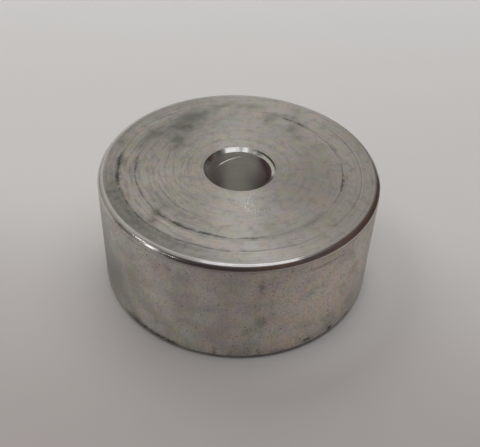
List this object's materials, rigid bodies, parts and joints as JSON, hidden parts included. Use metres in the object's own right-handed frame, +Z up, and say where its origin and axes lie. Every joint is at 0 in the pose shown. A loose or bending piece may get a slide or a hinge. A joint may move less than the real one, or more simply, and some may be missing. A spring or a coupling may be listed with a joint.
{
  "type": "cnc turned part",
  "caption": "Short round aluminium block turned from bar, with a plain through bore, a rounded polished top edge and broken bore mouths.",
  "frame": {"origin": "centre of the flat base face, on the bore axis", "axes": "+Z up along the bore axis, towards the face with the rounded outer edge; the part is round, so X and Y are free"},
  "size_m": [0.07, 0.07, 0.031],
  "materials": {
    "turned_aluminium": "bar-stock side with faint stains, satin turned faces, polished top edge and bore chamfer"
  },
  "bodies": {
    "root": {"turned_body": "turned_aluminium"}
  },
  "joints": []
}
